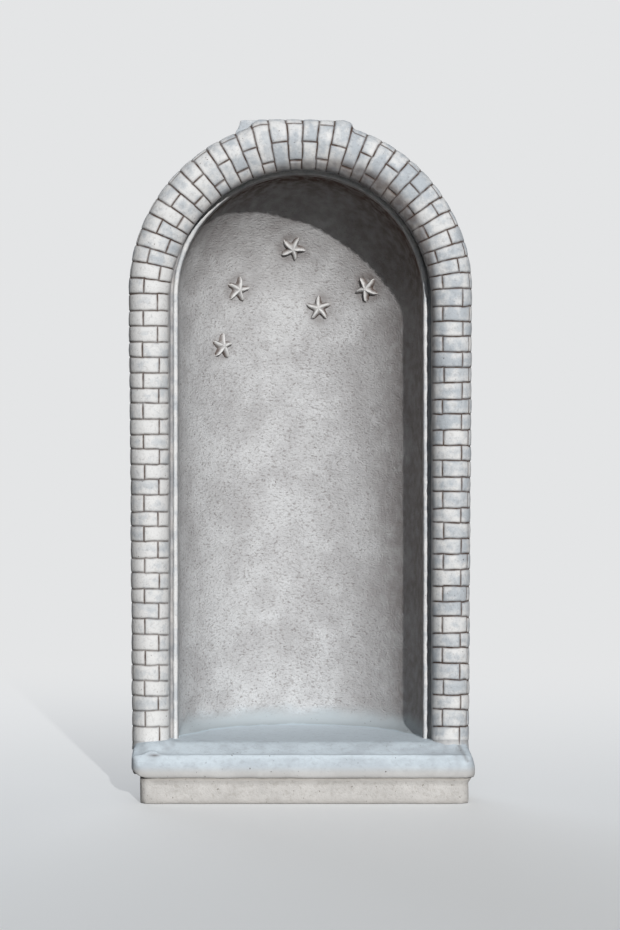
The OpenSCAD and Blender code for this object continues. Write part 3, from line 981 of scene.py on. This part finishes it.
class SHRINE_OT_stage(bpy.types.Operator):
    """Sets the pale floor and backdrop, the lamps and the camera"""

    bl_idname = "shrine.stage"
    bl_label = "Stage"

    def execute(self, context):
        scene, stage, colours = context.scene, context.scene.shrine.stage, context.scene.shrine.colours
        bm = bmesh.new()
        bmesh.ops.create_grid(bm, x_segments=1, y_segments=1, size=stage.floor_size)
        mesh = bpy.data.meshes.new("studio_floor")
        bm.to_mesh(mesh)
        bm.free()
        # Matt paper: even and pale, and as pale as the backdrop where it runs out behind
        paper = bpy.data.materials.new("studio paper, matt")
        paper.use_nodes = True
        tree = paper.node_tree
        sheet = tree.nodes["Principled BSDF"]
        sheet.inputs["Roughness"].default_value = 0.95
        at = add(tree, "ShaderNodeTexCoord").outputs["Object"]
        depth = add(tree, "ShaderNodeSeparateXYZ", {"Vector": at}).outputs["Y"]
        shown = shown_ray(tree, "Camera", "Glossy")
        # It looks pale but throws little light back on the shrine
        look = add(
            tree, "ShaderNodeMix", {0: shown, 6: colours.bounce, 7: colours.floor}, data_type="RGBA"
        ).outputs[2]
        tree.links.new(look, sheet.inputs["Base Color"])
        far = add(
            tree, "ShaderNodeMapRange", {"Value": depth, "From Min": -1.6, "From Max": 2.6, "To Min": 0.25},
            interpolation_type="SMOOTHSTEP",
        ).outputs["Result"]
        far = add(tree, "ShaderNodeMath", {0: far, 1: shown}, operation="MULTIPLY").outputs[0]
        pale = add(tree, "ShaderNodeEmission", {"Color": colours.backdrop, "Strength": 1.0}).outputs[0]
        both = add(tree, "ShaderNodeMixShader", {0: far, 1: sheet.outputs[0], 2: pale}).outputs[0]
        tree.links.new(both, tree.nodes["Material Output"].inputs["Surface"])
        mesh.materials.append(paper)
        floor = put("studio_floor", mesh)

        turn, rise = stage.key_turn, stage.key_rise
        away = Vector((math.sin(turn) * math.cos(rise), -math.cos(turn) * math.cos(rise), math.sin(rise)))
        lamp = bpy.data.lights.new("key", "SUN")
        lamp.energy, lamp.angle = stage.key_power, stage.key_spread
        key = put("key", lamp)
        key.location = away * 4
        key.rotation_euler = (-away).to_track_quat("-Z", "Y").to_euler()

        # One soft box overhead in front, and one behind that the niche doesn't see
        aim = Vector((0, -0.1, 0.4))
        front, back = (0.4, -2.7, 3.4), (-0.8, 3.2, 2.4)
        for name, power, at in (("front box", stage.box_power, front), ("back box", stage.back_power, back)):
            lamp = bpy.data.lights.new(name, "AREA")
            lamp.energy, lamp.size, lamp.color = power, stage.box_size, colours.box[:3]
            box = put(name, lamp)
            box.location = at
            box.rotation_euler = (aim - box.location).to_track_quat("-Z", "Y").to_euler()

        world = bpy.data.worlds.new("studio")
        world.use_nodes = True
        tree = world.node_tree
        glow = tree.nodes["Background"]
        glow.inputs["Color"].default_value = colours.glow
        glow.inputs["Strength"].default_value = stage.fill
        pale = add(tree, "ShaderNodeBackground", {"Color": colours.backdrop, "Strength": 1.0}).outputs[0]
        shown = shown_ray(tree, "Camera", "Glossy", "Transmission")
        both = add(tree, "ShaderNodeMixShader", {0: shown, 1: glow.outputs[0], 2: pale}).outputs[0]
        tree.links.new(both, tree.nodes["World Output"].inputs["Surface"])
        scene.world = world

        eye = bpy.data.cameras.new("eye")
        eye.lens, eye.sensor_width = stage.lens, 36.0
        camera = put("eye", eye)
        camera.location = stage.eye
        camera.rotation_euler = (math.pi / 2, 0, 0)
        scene.camera = camera
        scene.view_settings.view_transform = "Standard"
        return {"FINISHED"}


class SHRINE_PT_panel(bpy.types.Panel):
    """Lists the shrine's pieces"""

    bl_idname = "SHRINE_PT_panel"
    bl_label = "Wayside shrine"
    bl_space_type = "VIEW_3D"
    bl_region_type = "UI"
    bl_category = "Shrine"

    def draw(self, context):
        for kind in OPERATORS:
            self.layout.operator(kind.bl_idname)


GROUPS = (ShrineSurround, ShrineNiche, ShrineColours, ShrineStage, ShrineSettings)
OPERATORS = (
    SHRINE_OT_surround, SHRINE_OT_lining, SHRINE_OT_base, SHRINE_OT_plinth, SHRINE_OT_pad, SHRINE_OT_stars,
    SHRINE_OT_stage,
)


def register():
    for kind in (*GROUPS, *OPERATORS, SHRINE_PT_panel):
        bpy.utils.register_class(kind)
    bpy.types.Scene.shrine = PointerProperty(type=ShrineSettings)


def unregister():
    del bpy.types.Scene.shrine
    for kind in reversed((*GROUPS, *OPERATORS, SHRINE_PT_panel)):
        bpy.utils.unregister_class(kind)


def main():
    register()
    bpy.ops.shrine.surround()
    bpy.ops.shrine.lining()
    bpy.ops.shrine.base()
    bpy.ops.shrine.plinth()
    bpy.ops.shrine.pad()
    bpy.ops.shrine.stars()
    bpy.ops.shrine.stage()


if __name__ == "__main__":
    main()
